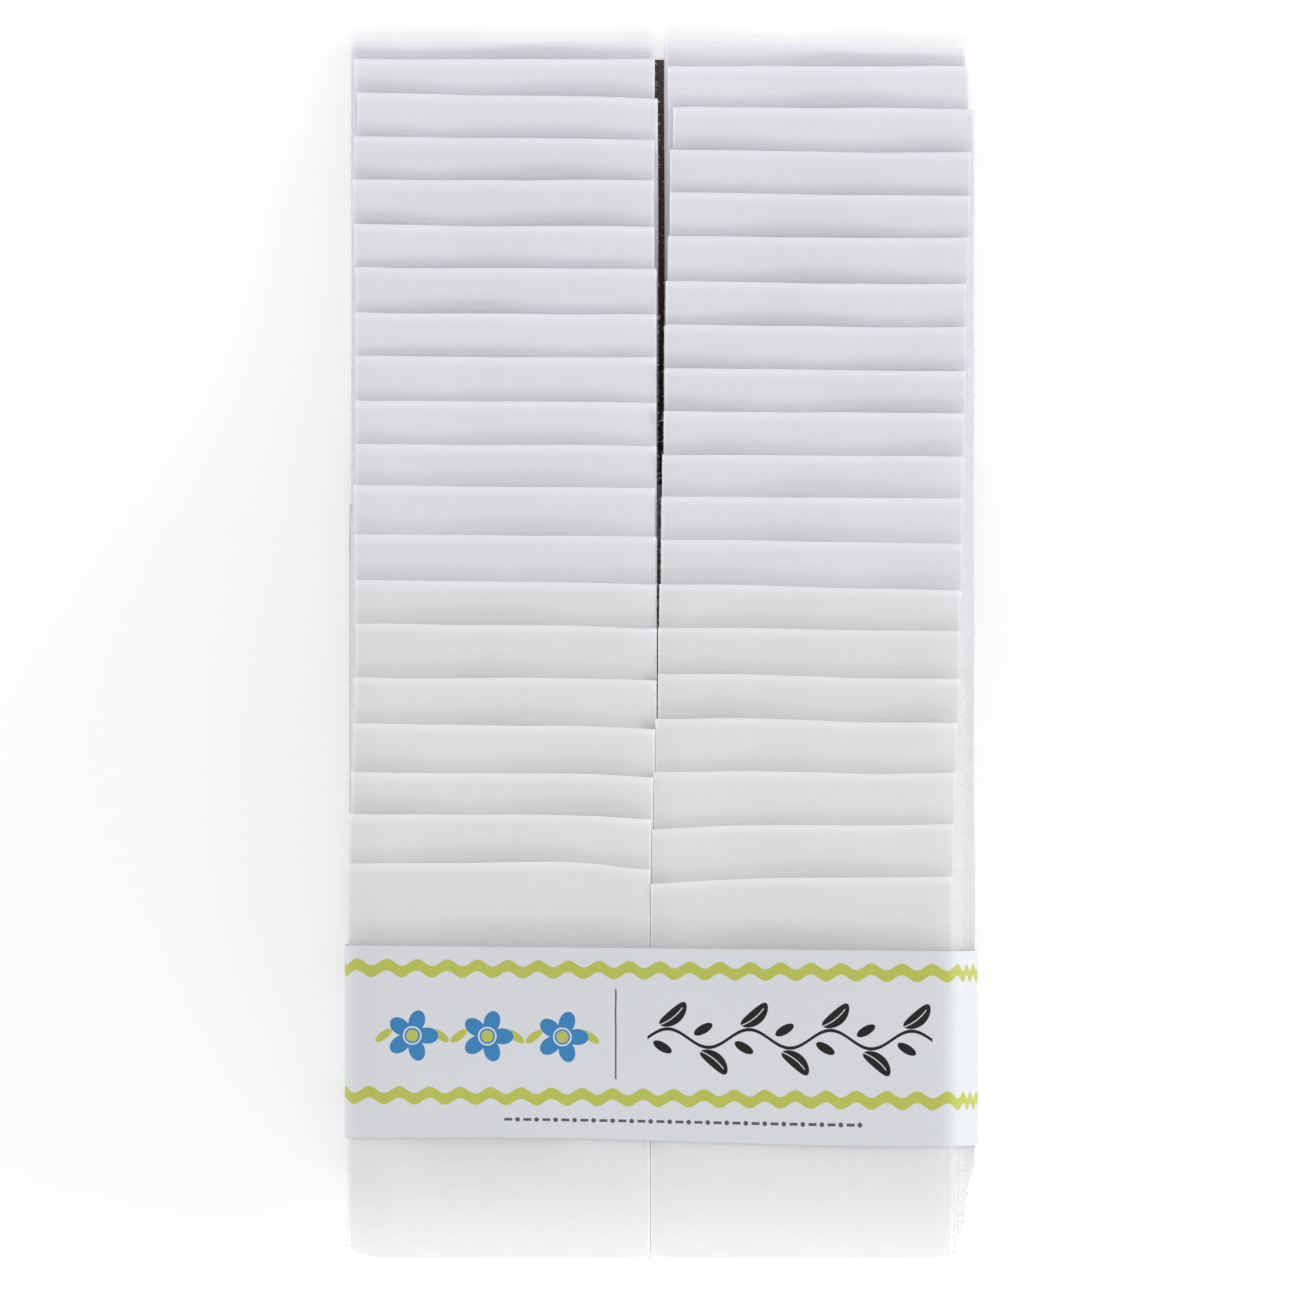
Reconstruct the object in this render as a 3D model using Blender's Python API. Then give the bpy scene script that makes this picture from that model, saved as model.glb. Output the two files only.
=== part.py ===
# Flat pack of forty folded quilting strips: two shingled stacks of twenty, turned under at one
# end and held by a paper band. Sizes are in millimetres and become metres where meshes are made.

import collections
import math

import bmesh
import bpy

MM = 0.001

# One strip: a cut across the full width of the cloth, folded in half and in half again
STRIP_WIDTH = 63.5
CUT_LENGTH = 1067.0
PLIES = 4
CLOTH = 0.17
PLY_GAP = 0.04
FOLD_STEPS = 3

# The pile: how the strips nest and where they turn under
STRIPS = 20
STRIP_GAP = 0.3
NOSE_STEPS = 6
RAMP_CLEAR = 1.2
RAMP_ROUNDS = 6

# The paper band
BAND_WIDTH = 40.6
BAND_THICK = 0.4
BAND_CLEAR = 0.3
BAND_SIDE_SLACK = 0.25
BAND_LOWER_EDGE = 24.9
BAND_TURN = math.radians(-0.55)
BAND_CORNER_STEPS = 3
BAND_SHOULDER_LAYER = 4
SHARP_CORNER = math.radians(40)

# A row for each strip, from the front one back. fold: from the nose to the top fold, at the
# strip's left end. rise: how much higher the fold's right end lies. inner: where the strip's
# edge beside the other stack runs, across the pack. short: how far its cut ends stop short.
Row = collections.namedtuple("Row", "fold rise inner short")

LEFT_STACK = (
    Row(83.3, -1.2, -2.40, 2.0),
    Row(93.9, -1.3, -2.15, 3.4),
    Row(102.7, -1.2, -1.75, 1.2),
    Row(112.9, -1.3, -1.40, 2.6),
    Row(122.6, -0.7, -1.05, 4.1),
    Row(133.8, -0.9, -0.95, 1.6),
    Row(143.0, -0.8, -0.95, 2.9),
    Row(152.7, -0.4, -0.95, 0.9),
    Row(163.1, -0.7, -1.35, 3.7),
    Row(171.9, -0.4, -1.05, 2.2),
    Row(181.0, -0.6, -1.05, 1.3),
    Row(190.5, -0.4, -1.05, 3.0),
    Row(199.6, -0.3, -1.05, 2.4),
    Row(209.1, -0.2, -1.05, 1.0),
    Row(218.4, -0.5, -1.45, 3.3),
    Row(227.8, -0.2, -1.45, 1.8),
    Row(236.9, -0.8, -1.45, 2.7),
    Row(245.8, -0.9, -0.75, 0.8),
    Row(253.2, 0.0, -1.45, 3.9),
    Row(257.0, 0.1, -1.90, 1.5),
)

RIGHT_STACK = (
    Row(79.7, 1.0, -2.07, 3.1),
    Row(90.8, 0.8, -1.83, 1.4),
    Row(102.5, -0.2, -1.41, 2.3),
    Row(113.9, -0.9, -1.05, 0.9),
    Row(123.2, -1.0, -0.50, 3.6),
    Row(132.9, -0.6, -0.42, 2.0),
    Row(142.2, -1.3, -0.21, 1.1),
    Row(151.5, -0.7, 0.00, 2.8),
    Row(160.5, -0.2, 0.10, 4.0),
    Row(169.8, -0.4, 0.42, 1.7),
    Row(178.7, -0.4, 0.53, 2.5),
    Row(187.8, -0.7, 0.84, 3.2),
    Row(197.0, -0.6, 0.84, 1.2),
    Row(206.3, -0.7, 0.95, 2.1),
    Row(215.8, -0.4, 1.48, 3.5),
    Row(225.1, -0.8, 1.90, 0.8),
    Row(234.2, -0.9, 2.11, 2.6),
    Row(243.2, -0.5, 2.53, 1.9),
    Row(251.7, 0.0, 1.48, 3.0),
    Row(257.2, -1.7, 0.84, 1.5),
)

# Cloth colours, from the front strip to the one furthest back, and the paper
CLOTH_FRONT = (0.74, 0.75, 0.76)
CLOTH_BACK = (0.76, 0.78, 0.85)
CLOTH_ROUGHNESS = 0.85
PAPER = (0.67, 0.69, 0.72)
PAPER_ROUGHNESS = 0.6
SHARP_EDGE = math.radians(35)

# Sizes that follow
FOLDED_LENGTH = CUT_LENGTH / PLIES
STRIP_THICK = PLIES * CLOTH + (PLIES - 1) * PLY_GAP
PITCH = STRIP_THICK + STRIP_GAP
CORE_GAP = STRIP_GAP / 2
NOSE_RADIUS = CORE_GAP + (STRIPS - 1) * PITCH + STRIP_THICK
BACK_LOW = BAND_THICK + BAND_CLEAR
CORE_HEIGHT = BACK_LOW + NOSE_RADIUS
PACK_LENGTH = max(row.fold for row in LEFT_STACK + RIGHT_STACK)
LEFT_SIDE = min(row.inner for row in LEFT_STACK) - STRIP_WIDTH
RIGHT_SIDE = max(row.inner for row in RIGHT_STACK) + STRIP_WIDTH


def ply_height(ply):
    """Middle of a ply above the strip's inner face, ply 1 being the innermost."""
    return (ply - 0.5) * CLOTH + (ply - 1) * PLY_GAP


# Where the front runs leave the pile of back runs, and where they reach the table
Ramp = collections.namedtuple("Ramp", "head foot")


def back_length(fold, layer, ramp):
    """How far a strip runs up the back from the nose, from what its length leaves over."""
    slant = math.hypot(ramp.head - ramp.foot, CORE_HEIGHT + CORE_GAP) / (ramp.foot - ramp.head)
    flat = max(fold - ramp.foot, 0.0)
    sloped = min(fold, ramp.foot) - ramp.head
    level = ramp.head - NOSE_RADIUS
    turned = math.pi * (CORE_GAP + layer * PITCH + STRIP_THICK / 2)
    return FOLDED_LENGTH - flat - sloped * slant - level - turned


def find_ramp():
    """The slope that clears the ends of the back runs, found again from each better guess."""
    ramp = Ramp(2 * NOSE_RADIUS, FOLDED_LENGTH / 2)
    innermost = min(LEFT_STACK[-1].fold, RIGHT_STACK[-1].fold)
    outermost = min(LEFT_STACK[0].fold, RIGHT_STACK[0].fold)
    for _ in range(RAMP_ROUNDS):
        shortest = back_length(innermost, 0, ramp)
        longest = back_length(outermost, STRIPS - 1, ramp)
        head = NOSE_RADIUS + shortest + RAMP_CLEAR
        fall = (STRIPS - 1) * PITCH / (longest - shortest)
        ramp = Ramp(head, head + (CORE_HEIGHT + CORE_GAP) / fall)
    return ramp


RAMP = find_ramp()

# A station on the way along a strip: a point of the pile's core, the way outwards from it, and
# the distance along the strip from its top fold
Station = collections.namedtuple("Station", "y z out_y out_z along")


def strip_route(fold, layer, with_foot):
    """Stations from the top fold down the front, round the nose and up the back."""
    front = [(fold, -CORE_GAP)] if fold >= RAMP.foot else [(fold, core_height(fold))]
    if with_foot:
        front.append((RAMP.foot, -CORE_GAP))
    front.append((RAMP.head, CORE_HEIGHT))
    stations = []
    along = 0.0
    before = front[0]
    for point in front:
        along += math.dist(before, point)
        stations.append(Station(point[0], point[1], 0.0, 1.0, along))
        before = point
    along += RAMP.head - NOSE_RADIUS
    radius = CORE_GAP + layer * PITCH + STRIP_THICK / 2
    for step in range(NOSE_STEPS + 1):
        angle = math.pi * step / NOSE_STEPS
        out = (-math.sin(angle), math.cos(angle))
        stations.append(Station(NOSE_RADIUS, CORE_HEIGHT, *out, along + radius * angle))
    along += radius * math.pi
    end = NOSE_RADIUS + FOLDED_LENGTH - along
    stations.append(Station(end, CORE_HEIGHT, 0.0, -1.0, FOLDED_LENGTH))
    return stations


def core_height(y):
    """Height of the pile of back runs under the front runs."""
    share = (RAMP.foot - y) / (RAMP.foot - RAMP.head)
    return -CORE_GAP + (CORE_HEIGHT + CORE_GAP) * min(max(share, 0.0), 1.0)


def place(stations, along, outwards):
    """The point that lies so far along the route and so far out from the core."""
    after = 1
    while after < len(stations) - 1 and stations[after].along < along:
        after += 1
    a = stations[after - 1]
    b = stations[after]
    share = (along - a.along) / (b.along - a.along)
    ends = [(s.y + s.out_y * outwards, s.z + s.out_z * outwards) for s in (a, b)]
    y = ends[0][0] + (ends[1][0] - ends[0][0]) * share
    z = ends[0][1] + (ends[1][1] - ends[0][1]) * share
    return y, z


def ribbon(stations, short):
    """The folded cloth's own centre line: along, height above the strip's inner face, normal."""
    inside = [s.along for s in stations[1:-1]]
    tight = (CLOTH + PLY_GAP) / 2
    wide = (ply_height(4) - ply_height(1)) / 2
    middle = STRIP_THICK / 2
    top = CLOTH / 2 + wide
    far = FOLDED_LENGTH - CLOTH / 2 - tight
    free_end = FOLDED_LENGTH - short
    line = [(free_end, ply_height(4), 0.0, 1.0)]
    line += [(u, ply_height(4), 0.0, 1.0) for u in reversed(inside)]
    line += fold_over((top, middle), wide, 90, 270, 1)
    line += [(u, ply_height(1), 0.0, -1.0) for u in inside]
    line += fold_over((far, (ply_height(1) + ply_height(2)) / 2), tight, 270, 450, 1)
    line += [(u, ply_height(2), 0.0, 1.0) for u in reversed(inside)]
    line += fold_over((top, middle), tight, 270, 90, -1)
    line += [(u, ply_height(3), 0.0, -1.0) for u in inside]
    line.append((free_end - short / 3, ply_height(3), 0.0, -1.0))
    return line


def fold_over(centre, radius, start, end, side):
    """Points round a half turn of the cloth, with side -1 where its outer face lies inside."""
    points = []
    for step in range(FOLD_STEPS + 1):
        angle = math.radians(start + (end - start) * step / FOLD_STEPS)
        c, s = math.cos(angle), math.sin(angle)
        points.append((centre[0] + radius * c, centre[1] + radius * s, side * c, side * s))
    return points


def strip_mesh(row, layer):
    """A strip as one ribbon laid back and forth, its left and right edges on their own routes."""
    ends = (row.fold, row.fold + row.rise)
    with_foot = min(ends) > RAMP.foot + 1
    routes = [strip_route(fold, layer, with_foot) for fold in ends]
    inner_face = CORE_GAP + layer * PITCH
    mesh = bmesh.new()
    rungs = []
    sides = (-STRIP_WIDTH / 2, STRIP_WIDTH / 2)
    lines = [ribbon(route, row.short) for route in routes]
    for left, right in zip(*lines):
        rung = []
        for x, route, (u, w, nu, nw) in zip(sides, routes, (left, right)):
            for half in (CLOTH / 2, -CLOTH / 2):
                y, z = place(route, u + nu * half, inner_face + w + nw * half)
                rung.append(mesh.verts.new((x * MM, y * MM, z * MM)))
        rungs.append(rung)
    for a, b in zip(rungs, rungs[1:]):
        mesh.faces.new((a[0], b[0], b[2], a[2]))
        mesh.faces.new((a[1], a[3], b[3], b[1]))
        mesh.faces.new((a[0], a[1], b[1], b[0]))
        mesh.faces.new((a[2], b[2], b[3], a[3]))
    mesh.faces.new((rungs[0][0], rungs[0][2], rungs[0][3], rungs[0][1]))
    mesh.faces.new((rungs[-1][0], rungs[-1][1], rungs[-1][3], rungs[-1][2]))
    return mesh


def band_corners():
    """The pack's outermost corners where the band goes round it, counter-clockwise."""
    low = BACK_LOW
    high = CORE_HEIGHT + NOSE_RADIUS
    left = LEFT_SIDE - BAND_SIDE_SLACK
    lean = {}
    for layer, row in enumerate(RIGHT_STACK):
        lean[layer] = row.inner + STRIP_WIDTH + BAND_SIDE_SLACK
    widest = max(lean, key=lean.get)
    steps = [(layer, lean[layer]) for layer in (0, BAND_SHOULDER_LAYER, widest)]
    lower = [(x, low + layer * PITCH) for layer, x in steps]
    upper = [(x, high - layer * PITCH) for layer, x in reversed(steps)]
    return [(left, low)] + lower + upper + [(left, high)]


def rounded_offset(corners, distance):
    """The corners' outline moved outwards, with round corners."""
    outline = []
    for index, corner in enumerate(corners):
        before = corners[index - 1]
        after = corners[(index + 1) % len(corners)]
        first = math.atan2(before[0] - corner[0], corner[1] - before[1])
        second = math.atan2(corner[0] - after[0], after[1] - corner[1])
        turn = (second - first) % (2 * math.pi)
        steps = BAND_CORNER_STEPS if turn > SHARP_CORNER else 1
        for step in range(steps + 1):
            angle = first + turn * step / steps
            x = corner[0] + distance * math.cos(angle)
            z = corner[1] + distance * math.sin(angle)
            outline.append((x, z))
    return outline


def band_mesh():
    """The paper band as a closed loop round both stacks."""
    corners = band_corners()
    inner = rounded_offset(corners, BAND_CLEAR)
    outer = rounded_offset(corners, BAND_CLEAR + BAND_THICK)
    mesh = bmesh.new()
    loops = []
    for outline in (outer, inner):
        for y in (-BAND_WIDTH / 2, BAND_WIDTH / 2):
            loops.append([mesh.verts.new((x * MM, y * MM, z * MM)) for x, z in outline])
    outer_low, outer_high, inner_low, inner_high = loops
    for i in range(len(outer)):
        j = (i + 1) % len(outer)
        mesh.faces.new((outer_low[i], outer_low[j], outer_high[j], outer_high[i]))
        mesh.faces.new((inner_low[i], inner_high[i], inner_high[j], inner_low[j]))
        mesh.faces.new((outer_high[i], outer_high[j], inner_high[j], inner_high[i]))
        mesh.faces.new((outer_low[i], inner_low[i], inner_low[j], outer_low[j]))
    return mesh


def add_object(name, mesh, colour, roughness, parent):
    bmesh.ops.recalc_face_normals(mesh, faces=mesh.faces)
    data = bpy.data.meshes.new(name)
    mesh.to_mesh(data)
    mesh.free()
    data.shade_smooth()
    data.set_sharp_from_angle(angle=SHARP_EDGE)
    material = bpy.data.materials.new(name)
    material.use_nodes = True
    shader = material.node_tree.nodes["Principled BSDF"]
    shader.inputs["Base Color"].default_value = (*colour, 1.0)
    shader.inputs["Roughness"].default_value = roughness
    shader.inputs["Metallic"].default_value = 0.0
    data.materials.append(material)
    thing = bpy.data.objects.new(name, data)
    bpy.context.scene.collection.objects.link(thing)
    thing.parent = parent
    return thing


def clear_scene():
    for thing in list(bpy.data.objects):
        bpy.data.objects.remove(thing)


def main():
    clear_scene()
    pack = bpy.data.objects.new("pack", None)
    bpy.context.scene.collection.objects.link(pack)
    middle = (LEFT_SIDE + RIGHT_SIDE) / 2
    nose_y = -PACK_LENGTH / 2
    for side, stack, towards in (("left", LEFT_STACK, -0.5), ("right", RIGHT_STACK, 0.5)):
        for number, row in enumerate(stack, start=1):
            layer = STRIPS - number
            share = (number - 1) / (STRIPS - 1)
            colour = [a + (b - a) * share for a, b in zip(CLOTH_FRONT, CLOTH_BACK)]
            name = f"strip_{side}_{number:02d}"
            strip = add_object(name, strip_mesh(row, layer), colour, CLOTH_ROUGHNESS, pack)
            x = row.inner + towards * STRIP_WIDTH - middle
            strip.location = (x * MM, nose_y * MM, 0.0)
    band = add_object("band", band_mesh(), PAPER, PAPER_ROUGHNESS, pack)
    band.location = (-middle * MM, (nose_y + BAND_LOWER_EDGE + BAND_WIDTH / 2) * MM, 0.0)
    band.rotation_euler.z = BAND_TURN


main()
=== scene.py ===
import math

import bmesh
import bpy
import numpy as np
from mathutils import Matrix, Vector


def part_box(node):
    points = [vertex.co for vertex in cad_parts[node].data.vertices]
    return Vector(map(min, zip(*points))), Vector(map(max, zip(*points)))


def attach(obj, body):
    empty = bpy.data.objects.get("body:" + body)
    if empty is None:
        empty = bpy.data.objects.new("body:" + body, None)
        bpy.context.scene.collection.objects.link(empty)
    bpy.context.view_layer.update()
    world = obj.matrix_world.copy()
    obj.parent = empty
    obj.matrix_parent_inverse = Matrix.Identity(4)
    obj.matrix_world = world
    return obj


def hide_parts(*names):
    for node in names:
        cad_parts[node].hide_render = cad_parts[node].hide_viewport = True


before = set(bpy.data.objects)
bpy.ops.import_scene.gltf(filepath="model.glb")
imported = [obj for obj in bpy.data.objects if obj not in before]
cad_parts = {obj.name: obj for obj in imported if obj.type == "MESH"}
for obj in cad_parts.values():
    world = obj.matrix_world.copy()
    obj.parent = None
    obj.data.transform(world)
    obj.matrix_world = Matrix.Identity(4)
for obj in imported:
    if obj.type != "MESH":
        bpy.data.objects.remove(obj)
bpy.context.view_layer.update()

mm = 0.001  # shapes are worked out in millimetres

# node helpers: one class wraps a socket, one builds a tree


class Wire:
    # a socket that can be written in sums, each operation adding a Math node
    def __init__(self, maker, socket):
        self.maker = maker
        self.socket = socket

    def maths(self, operation, *values):
        return self.maker.add("ShaderNodeMath", {"operation": operation}, dict(enumerate(values)))

    def __add__(self, other):
        return self.maths("ADD", self, other)

    def __radd__(self, other):
        return self.maths("ADD", other, self)

    def __sub__(self, other):
        return self.maths("SUBTRACT", self, other)

    def __rsub__(self, other):
        return self.maths("SUBTRACT", other, self)

    def __mul__(self, other):
        return self.maths("MULTIPLY", self, other)

    def __rmul__(self, other):
        return self.maths("MULTIPLY", other, self)

    def __truediv__(self, other):
        return self.maths("DIVIDE", self, other)

    def __abs__(self):
        return self.maths("ABSOLUTE", self)

    def do(self, operation, *others):
        return self.maths(operation, self, *others)

    def step(self, low, high):
        # 0 below low, 1 above high, smooth between
        return self.maker.add(
            "ShaderNodeMapRange",
            {"interpolation_type": "SMOOTHSTEP"},
            {"Value": self, "From Min": low, "From Max": high},
        )


class NodeMaker:
    def __init__(self, tree):
        self.tree = tree

    def add(self, kind, settings=None, sockets=None, output=0):
        node = self.tree.nodes.new(kind)
        for name, value in (settings or {}).items():
            setattr(node, name, value)
        for name, value in (sockets or {}).items():
            self.feed(node.inputs[name], value)
        return Wire(self, node.outputs[output])

    def feed(self, socket, value):
        if isinstance(value, Wire):
            self.tree.links.new(value.socket, socket)
        else:
            socket.default_value = value


def newMaterial(name):
    material = bpy.data.materials.new(name)
    material.use_nodes = True
    tree = material.node_tree
    return material, NodeMaker(tree), tree.nodes["Principled BSDF"]


def blendColour(maker, share, a, b):
    return maker.add(
        "ShaderNodeMix",
        {"data_type": "RGBA"},
        {"Factor": share, 6: a, 7: b},
        output=2,
    )


# how the pack is folded and piled, in millimetres

pile = {
    "stripWidth": 63.5,
    "cutLength": 1067.0,
    "foldedLength": 266.75,
    "pitch": 1.1,  # one folded strip and the air to the next
    "stripThick": 0.8,
    "cloth": 0.225,
    "plyPitch": 0.268,
    "coreGap": 0.15,
    "coreHeight": 22.55,  # the level that the strips turn about
    "noseRadius": 21.85,
    "rampHead": 50.84,  # where the front runs leave the pile of back runs
    "rampFoot": 173.83,  # where they reach the table
    "headEase": 7.0,
    "footEase": 14.0,
    "flatRun": 200.0,
    "noseY": -128.6,
    "stackEdges": ((-65.97, -2.2), (-1.2, 64.6)),
}

# a row for each strip, front one first: fold from the nose at its left end, rise to the right
# end, how far the line strays at five even places across, how short the cut ends stop
leftFolds = (
    (83.3, -1.2, (0, 0.4, 0.9, 1.4, -0.15), 2.0),
    (93.9, -1.3, (-0.15, 0, 0.45, 0.55, 0.05), 3.4),
    (102.7, -1.2, (0, -0.1, 0.2, 0.55, -0.15), 1.2),
    (112.9, -1.3, (0.05, -0.05, 0.15, 0.4, -0.05), 2.6),
    (122.6, -0.7, (-0.05, -0.2, 0.2, 0.3, -0.1), 4.1),
    (133.8, -0.9, (0.05, 0.1, 0.2, 0.25, -0.1), 1.6),
    (143.0, -0.8, (0.05, 0.05, 0.15, 0.1, -0.1), 2.9),
    (152.7, -0.4, (0.05, -0.05, 0, -0.05, -0.15), 0.9),
    (163.1, -0.7, (0, 0, -0.05, 0.05, 0.1), 3.7),
    (171.9, -0.4, (-0.05, -0.2, -0.1, 0, -0.1), 2.2),
    (181.0, -0.6, (-0.05, 0, 0.15, 0.15, 0.15), 1.3),
    (190.5, -0.4, (0, -0.1, -0.15, -0.1, 0.1), 3.0),
    (199.6, -0.3, (0, -0.15, -0.1, -0.15, -0.1), 2.4),
    (209.1, -0.2, (0.1, -0.1, 0, 0, -0.1), 1.0),
    (218.4, -0.5, (0, -0.3, -0.3, -0.15, -0.05), 3.3),
    (227.8, -0.2, (0.05, -0.15, -0.15, 0.05, -0.05), 1.8),
    (236.9, -0.8, (0.05, -0.1, 0.1, 0.05, 0.1), 2.7),
    (245.8, -0.9, (0.4, 0.2, 0.15, 0.25, 0), 0.8),
    (253.2, 0.0, (0, 0.05, -0.05, 0.05, 0), 3.9),
    (257.0, 0.1, (0, 0.05, -0.05, 0.05, 0), 1.5),
)
rightFolds = (
    (79.7, 1.0, (-0.65, 0, 0.3, -0.15, -0.05), 3.1),
    (90.8, 0.8, (-0.35, 0.35, 0.3, -0.15, 0.1), 1.4),
    (102.5, -0.2, (-0.05, 0.35, 0.2, -0.25, 0.15), 2.3),
    (113.9, -0.9, (-0.15, 0.3, 0.1, -0.35, 0), 0.9),
    (123.2, -1.0, (0, 0.3, 0, -0.25, 0.05), 3.6),
    (132.9, -0.6, (0, 0.25, 0.05, -0.1, 0), 2.0),
    (142.2, -1.3, (-0.05, 0.2, 0, -0.05, -0.05), 1.1),
    (151.5, -0.7, (0, 0.15, 0.05, -0.1, -0.1), 2.8),
    (160.5, -0.2, (0.1, 0.2, 0, 0.05, 0), 4.0),
    (169.8, -0.4, (-0.25, -0.25, -0.25, -0.25, -0.25), 1.7),
    (178.7, -0.4, (0, 0, 0, 0, 0), 2.5),
    (187.8, -0.7, (0, 0.1, 0.05, 0, 0.05), 3.2),
    (197.0, -0.6, (0.05, 0.05, -0.05, -0.1, 0.15), 1.2),
    (206.3, -0.7, (0, -0.1, -0.15, -0.25, 0.15), 2.1),
    (215.8, -0.4, (0, 0, -0.25, -0.1, 0.05), 3.5),
    (225.1, -0.8, (-0.05, -0.05, -0.2, -0.1, 0), 0.8),
    (234.2, -0.9, (-0.05, -0.15, -0.05, -0.25, 0.35), 2.6),
    (243.2, -0.5, (0, -0.1, -0.05, 0.05, -0.1), 1.9),
    (251.7, 0.0, (0, 0.05, -0.05, 0.05, 0), 3.0),
    (257.2, -1.7, (0, 0.05, -0.05, 0.05, 0), 1.5),
)

squeezeLook = {
    "outerDroop": 0.10,  # share of the pile's thickness lost at the outer edges
    "outerWidth": 8.0,
    "innerDroop": 0.055,
    "innerWidth": 6.0,
    "wave": 0.0045,
    "waves": ((9.5, 31.0, 0.7, 1, 1.0), (17.0, -22.0, 2.9, -1, 1.0), (6.1, 13.0, 4.0, 1, 0.8)),
    "outerHold": (0.55, 95.0, 12.0),  # part left far from the band, where it changes and how fast
    "innerHold": (0.35, 115.0, 14.0),  # the part left near the band, and the same
    # hollows where the band's edges stand off: x, half width, station, length, depth, slant
    "dents": (
        (-27.0, 18.5, 65.6, 3.4, 0.075, 0.5),
        (-31.0, 21.0, 70.0, 8.0, 0.010, 0.6),
        (28.0, 20.0, 65.2, 3.2, 0.035, 0.2),
        (-38.0, 20.0, 24.0, 4.0, 0.055, 0.0),
        (12.0, 14.0, 88.0, 4.0, 0.016, 0.5),
    ),
}

foldLook = {
    "puff": 0.42,  # share by which a fold is thicker than the flat cloth
    "lift": 0.42,  # how far a fold stands off the cloth below it
    "liftWave": (7.7, 3.1, 0.8),  # length, turn with the seed, share
    "liftRipple": (3.4, 5.7, 0.1),
    "lineWaves": ((5.3, 1.0, 1.0), (2.9, 2.3, 0.6)),
    "sag": 15.0,  # the hollows' stations run on so far round the nose, a radian
    "drift": ((37.0, 1.0, 0.13), (9.0, 2.0, 0.07)),  # how a strip's edge wanders
    "edgePower": 11,  # keeps the closing of the seam to the edge columns
    "fade": 9.0,
    "lineWave": 0.04,
    "columns": 17,
    "crowd": 0.55,  # how much the columns crowd towards the edges
    "foldSteps": 7,
    "tightSteps": 4,
    "noseSteps": 12,
    "nearFold": (1.2, 2.1, 3.3, 4.8, 6.6, 8.8, 11.4),  # rungs that shape the puff of a fold
    "clearOfFold": 14.0,
    "frontStep": 7.0,
    "backStep": 12.0,
}


def easeIn(t, reach):
    # 0 below -reach, t above reach, round between
    inner = np.clip(t, -reach, reach)
    return np.where(t > reach, t, (inner + reach) ** 2 / (4 * reach))


def coreLevel(h):
    # height of the pile of back runs under the front runs, h from the nose
    head, foot = pile["rampHead"], pile["rampFoot"]
    fall = (pile["coreHeight"] + pile["coreGap"]) / (foot - head)
    rise = easeIn(foot - h, pile["footEase"]) - easeIn(head - h, pile["headEase"])
    return fall * rise - pile["coreGap"]


def squeeze(x, g, side):
    # share by which the pile is thinner at x and at the station g along it
    look = squeezeLook
    low, high = pile["stackEdges"][side]
    outer = x - low if side == 0 else high - x
    inner = high - x if side == 0 else x - low
    least, at, reach = look["outerHold"]
    held = least + (1 - least) / (1 + np.exp((g - at) / reach))
    c = look["outerDroop"] * np.clip(1 - outer / look["outerWidth"], 0, 1.25) ** 2 * held
    least, at, reach = look["innerHold"]
    loose = least + (1 - least) / (1 + np.exp((at - g) / reach))
    c = c + look["innerDroop"] * np.clip(1 - inner / look["innerWidth"], 0, 1.25) ** 2 * loose
    turn = side * 2.1  # the two stacks wave differently
    wave = 0
    for alongX, alongG, phase, way, size in look["waves"]:
        wave = wave + size * np.sin(x / alongX + g / alongG + phase + way * turn)
    c = c + look["wave"] * (sum(row[-1] for row in look["waves"]) + wave)
    for middle, half, at, reach, depth, slant in look["dents"]:
        across = np.clip(1 - ((x - middle + slant * (g - at)) / half) ** 4, 0, 1) ** 1.5
        c = c + depth * across * np.exp(-(((g - at) / reach) ** 2))
    return c


# distance along the front run from the turn, and the matching distance from the nose
pathFrom = [0.0, pile["rampHead"] - pile["noseRadius"]]
rampRun = pile["rampFoot"] - pile["rampHead"]
pathFrom.append(pathFrom[1] + math.hypot(rampRun, pile["coreHeight"] + pile["coreGap"]))
pathFrom.append(pathFrom[2] + pile["flatRun"])
pathTo = [pile["noseRadius"], pile["rampHead"], pile["rampFoot"], pile["rampFoot"] + pile["flatRun"]]

lineKnots = (0, 0.25, 0.5, 0.75, 1)
lineBlur = (-0.09, -0.045, 0, 0.045, 0.09)


def topFold(strip, x):
    # how far from the nose the top fold lies at x
    t = np.clip((x - strip["left"]) / pile["stripWidth"], 0, 1)
    seed = strip["seed"]
    wave = sum(size * np.sin(x / length + turn * seed) for length, turn, size in foldLook["lineWaves"])
    stray = sum(np.interp(t + shift, lineKnots, strip["stray"]) for shift in lineBlur) / len(lineBlur)
    return strip["fold"] + strip["rise"] * t + stray + foldLook["lineWave"] * strip["play"] * wave


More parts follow.
